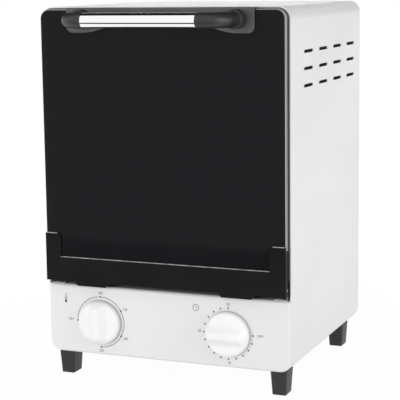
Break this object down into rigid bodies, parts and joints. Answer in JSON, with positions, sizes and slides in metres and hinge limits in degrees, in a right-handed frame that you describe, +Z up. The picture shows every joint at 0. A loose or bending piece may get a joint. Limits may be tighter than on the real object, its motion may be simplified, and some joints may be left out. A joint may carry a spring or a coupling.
{
  "type": "dry heat sterilizer",
  "caption": "Bench-top dry heat sterilizer: white steel casing on feet, dark glass door that hinges down with a bar handle, temperature and timer dials, heated cavity with wire rack.",
  "frame": {"origin": "under the middle of the whole object, on the surface that the feet stand on", "axes": "+Z up, -Y towards the door and dials, +X to the right seen from the front"},
  "size_m": [0.26, 0.3014, 0.375],
  "materials": {
    "white_enamel": "satin powder coat",
    "dark_enamel": "satin black paint",
    "frame_enamel": "matte dark grey paint",
    "stainless": "fine brushed",
    "zinc_plate": "zinc plated, dull",
    "bright_steel": "turned, bright",
    "dark_glass": "polished tinted glass",
    "grey_metal": "anodised grey",
    "chrome_plate": "polished chrome",
    "rack_plate": "satin chrome",
    "black_plastic": "moulded, fine texture",
    "elbow_plastic": "moulded, semi gloss",
    "white_plastic": "moulded, semi gloss",
    "dark_rubber": "silicone rubber, matte",
    "white_ceramic": "steatite, matte",
    "copper_tube": "drawn copper",
    "gold_bell": "yellow passivated"
  },
  "bodies": {
    "casing": {"outer_wrap": "white_enamel", "control_panel": "white_enamel", "back_panel": "white_enamel", "back_screws": "bright_steel", "bottom_plate": "zinc_plate", "front_frame": "frame_enamel", "front_sill": "dark_enamel", "cavity_wall_left": "stainless", "cavity_wall_right": "stainless", "cavity_roof": "stainless", "cavity_floor": "stainless", "cavity_back": "stainless", "cavity_brackets": "zinc_plate", "heat_shield": "zinc_plate", "upper_heaters": "stainless", "lower_heaters": "stainless", "heater_bushes": "white_ceramic", "hinge_bracket_left": "zinc_plate", "hinge_bracket_right": "zinc_plate", "bracket_screws": "bright_steel", "door_spring_left": "bright_steel", "door_spring_right": "bright_steel", "spring_anchors": "zinc_plate", "thermostat_body": "zinc_plate", "thermostat_nut": "zinc_plate", "thermostat_bulb": "copper_tube", "bulb_clips": "stainless", "timer_body": "zinc_plate", "timer_bell": "gold_bell", "timer_screws": "bright_steel", "terminal_block": "white_ceramic", "cord_gland": "black_plastic", "foot_front_left": "black_plastic", "foot_front_right": "black_plastic", "foot_rear_left": "black_plastic", "foot_rear_right": "black_plastic", "foot_screws": "bright_steel"},
    "door": {"door_glass": "dark_glass", "door_rail": "dark_enamel", "rail_packing": "dark_rubber", "handle_plate": "grey_metal", "handle_packing": "dark_rubber", "handle_bar": "chrome_plate", "handle_elbow_left": "elbow_plastic", "handle_elbow_right": "elbow_plastic", "handle_bolts": "bright_steel", "hinge_pin_left": "bright_steel", "hinge_pin_right": "bright_steel", "hinge_arm_left": "zinc_plate", "hinge_arm_right": "zinc_plate"},
    "temperature_dial": {"temperature_knob": "white_plastic", "temperature_shaft": "bright_steel"},
    "timer_dial": {"timer_knob": "white_plastic", "timer_shaft": "bright_steel"},
    "rack": {"wire_rack": "rack_plate"}
  },
  "joints": [
    {"name": "door_hinge", "type": "hinge", "parent": "casing", "child": "door", "pos_m": [0, -0.09577, 0.1075], "axis": [1, 0, 0], "range_deg": [0, 90], "stiffness_Nm_per_rad": 0.25, "springref_deg": -34.38},
    {"name": "temperature_turn", "type": "hinge", "parent": "casing", "child": "temperature_dial", "pos_m": [-0.072, -0.09227, 0.0593], "axis": [0, 1, 0], "range_deg": [-90, 180]},
    {"name": "timer_turn", "type": "hinge", "parent": "casing", "child": "timer_dial", "pos_m": [0.066, -0.09227, 0.0593], "axis": [0, 1, 0], "range_deg": [0, 270]},
    {"name": "rack_slide", "type": "slide", "parent": "casing", "child": "rack", "axis": [0, -1, 0], "range_m": [-0.012, 0]}
  ]
}
